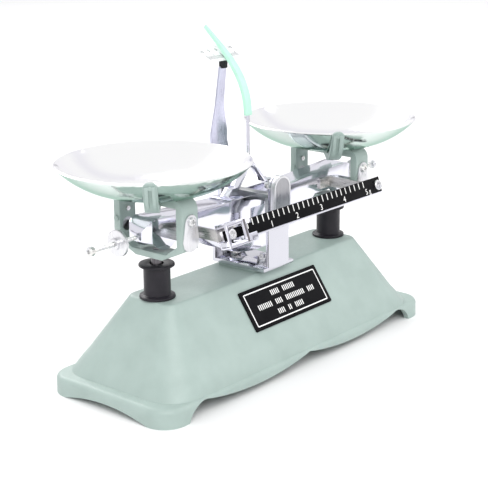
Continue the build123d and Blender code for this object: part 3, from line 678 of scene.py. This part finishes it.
def label_marks():
    """Thin white border and three rows of blank strokes in place of wording."""
    middle, normal = broad_face("label_plate", (0, -1, 0.7))
    along = Vector((1, 0, 0))
    upward = normal.cross(along)
    half_w, half_h = 33.0 * MM, 10.0 * MM
    line, raised = 0.7 * MM, 0.12 * MM
    rows = ((6.0 * MM, (5, 7)), (0.0, (8, 4, 11, 4)), (-6.0 * MM, (4, 2, 5)))
    stroke, gap, height = 0.75 * MM, 0.85 * MM, 3.2 * MM

    def build(work):
        for edge in (-1, 1):
            block(work, middle + upward * edge * half_h, along, upward, normal, (2 * half_w, line, raised))
            block(work, middle + along * edge * half_w, along, upward, normal, (line, 2 * half_h, raised))
        for lift, words in rows:
            pitch = stroke + gap
            total = sum(words) * pitch + (len(words) - 1) * 2 * pitch - gap
            x = -total / 2
            for strokes in words:
                for _ in range(strokes):
                    centre = middle + upward * lift + along * (x + stroke / 2)
                    block(work, centre, along, upward, normal, (stroke, height, raised))
                    x += pitch
                x += 2 * pitch

    add_piece("label_marks", build, INK_WHITE, "base")


# ---- camera, lights, floor ----

CAMERA_PLACE = Vector((-0.573, -0.482, 0.289))
CAMERA_AZIMUTH, CAMERA_PITCH, CAMERA_ROLL = 49.7, -16.5, -0.55
LENS_MM = 95.5


def make_camera():
    """Long lens from the front left, slightly above the pans."""
    data = bpy.data.cameras.new("camera")
    data.lens = LENS_MM
    data.sensor_width = 36.0
    data.clip_end = 100.0
    camera = bpy.data.objects.new("camera", data)
    azimuth, pitch = math.radians(CAMERA_AZIMUTH), math.radians(CAMERA_PITCH)
    look = Vector((
        math.sin(azimuth) * math.cos(pitch), math.cos(azimuth) * math.cos(pitch), math.sin(pitch)
    ))
    turn = look.to_track_quat("-Z", "Y").to_matrix().to_4x4()
    roll = Matrix.Rotation(math.radians(CAMERA_ROLL), 4, "Z")
    camera.matrix_world = Matrix.Translation(CAMERA_PLACE) @ turn @ roll
    bpy.context.scene.collection.objects.link(camera)
    bpy.context.scene.camera = camera


def soft_box(name, place, target, size, power, tint=(1, 1, 1)):
    """Large area light aimed at a point."""
    data = bpy.data.lights.new(name, "AREA")
    data.shape = "RECTANGLE"
    data.size, data.size_y = size
    data.energy = power
    data.color = tint
    light = bpy.data.objects.new(name, data)
    aim = (Vector(target) - Vector(place)).to_track_quat("-Z", "Y")
    light.matrix_world = Matrix.Translation(Vector(place)) @ aim.to_matrix().to_4x4()
    bpy.context.scene.collection.objects.link(light)


def make_world():
    """Bright even surround, a little darker near the horizon for the plated parts to reflect."""
    world = bpy.data.worlds.new("surround")
    world.use_nodes = True
    tree = world.node_tree
    background = tree.nodes["Background"]
    direction = tree.nodes.new("ShaderNodeTexCoord")
    split = tree.nodes.new("ShaderNodeSeparateXYZ")
    ramp = tree.nodes.new("ShaderNodeValToRGB")
    stops = (
        (0.0, (0.9, 0.9, 0.92)), (0.04, (0.30, 0.29, 0.33)), (0.06, (0.32, 0.31, 0.35)),
        (0.10, (0.95, 0.94, 0.98)), (0.45, (1.0, 1.0, 1.0)), (0.60, (0.88, 0.87, 0.92)),
        (0.75, (1.0, 1.0, 1.0)),
    )
    for element, (position, colour) in zip(ramp.color_ramp.elements, (stops[0], stops[-1])):
        element.position = position
        element.color = (*colour, 1)
    for position, colour in stops[1:-1]:
        element = ramp.color_ramp.elements.new(position)
        element.color = (*colour, 1)
    tree.links.new(direction.outputs["Generated"], split.inputs["Vector"])
    tree.links.new(split.outputs["Z"], ramp.inputs["Fac"])
    tree.links.new(ramp.outputs["Color"], background.inputs["Color"])
    background.inputs["Strength"].default_value = 0.96
    bpy.context.scene.world = world


def make_floor():
    """Wide pale floor."""
    half = 8.0
    mesh = bpy.data.meshes.new("floor")
    mesh.from_pydata(
        [(-half, -half, 0), (half, -half, 0), (half, half, 0), (-half, half, 0)], [], [(0, 1, 2, 3)]
    )
    mesh.materials.append(floor_paint())
    floor = bpy.data.objects.new("floor", mesh)
    bpy.context.scene.collection.objects.link(floor)


def make_lights():
    target = (0, 0, 0.09)
    soft_box("key", (-0.9, -1.1, 1.3), target, (1.2, 1.2), 18)
    soft_box("fill", (1.2, -0.8, 0.9), target, (1.0, 1.0), 2.5)
    soft_box("back", (0.4, 1.4, 1.1), target, (1.4, 0.8), 14)


# ---- put it together ----

paint_nodes()

# bevel widths in millimetres
SMALL_EDGE = 0.15
EDGE_ROUNDING = {
    "base_casting": 0.0, "label_plate": 0.15, "left_sleeve": 0.35, "right_sleeve": 0.35,
    "left_carrier_frame": 0.6, "right_carrier_frame": 0.6, "stand_bracket": 0.4, "beam_channel": 0.3,
    "beam_bridge": 0.3, "stand_bolts": 0.3, "left_pan": 0.2, "right_pan": 0.2, "rider": 0.2,
}
for name in nodes:
    soften(name, EDGE_ROUNDING.get(name, SMALL_EDGE) * MM)

balance_screws()
balance_nuts()
sensitivity_rod()
pointer_thread()
bar_graduations()
rider_index()
cover_inlay()
dial_marks()
label_marks()

make_camera()
make_world()
make_lights()
make_floor()
bpy.context.scene.view_settings.view_transform = "Standard"
